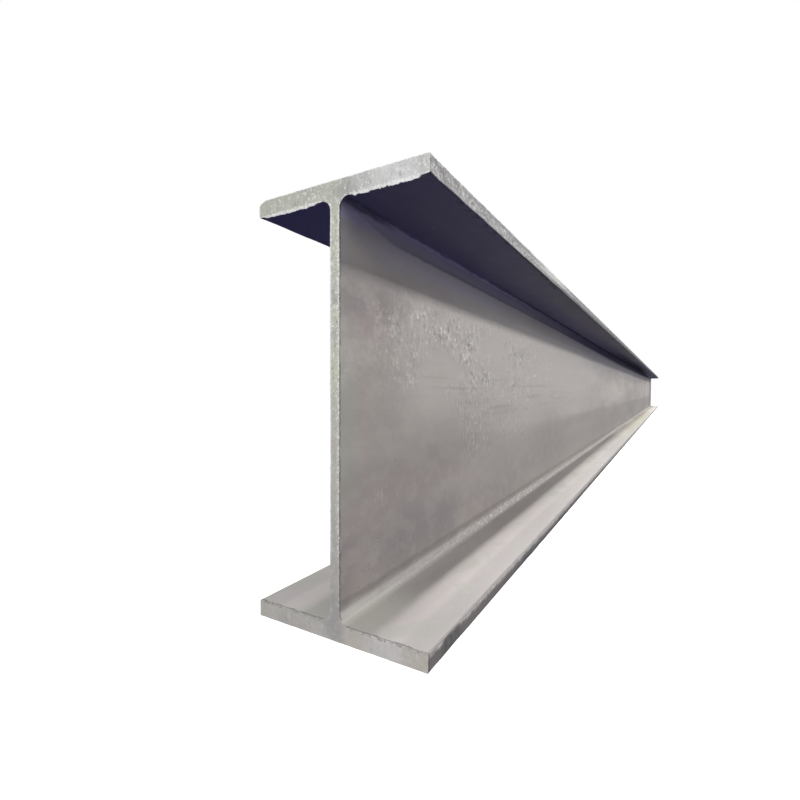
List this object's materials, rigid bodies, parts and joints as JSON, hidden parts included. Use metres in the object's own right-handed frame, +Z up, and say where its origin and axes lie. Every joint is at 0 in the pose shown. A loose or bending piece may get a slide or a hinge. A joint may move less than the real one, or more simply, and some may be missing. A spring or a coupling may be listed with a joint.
{
  "type": "steel h-beam",
  "caption": "Hot-rolled steel H beam with narrow parallel flanges, a thin web and rounded roots, as a bare length of mill stock with burred saw-cut ends.",
  "frame": {"origin": "middle of the underside of the bottom flange, halfway along the beam", "axes": "+Y along the beam's length, +Z up through the web to the top flange, +X across the flanges"},
  "size_m": [0.1794, 8, 0.4128],
  "materials": {
    "rolled_steel": "dull mill scale, mottled warm grey and faintly streaked along the length, with pale grey cut end faces"
  },
  "bodies": {
    "root": {"h_beam": "rolled_steel"}
  },
  "joints": []
}
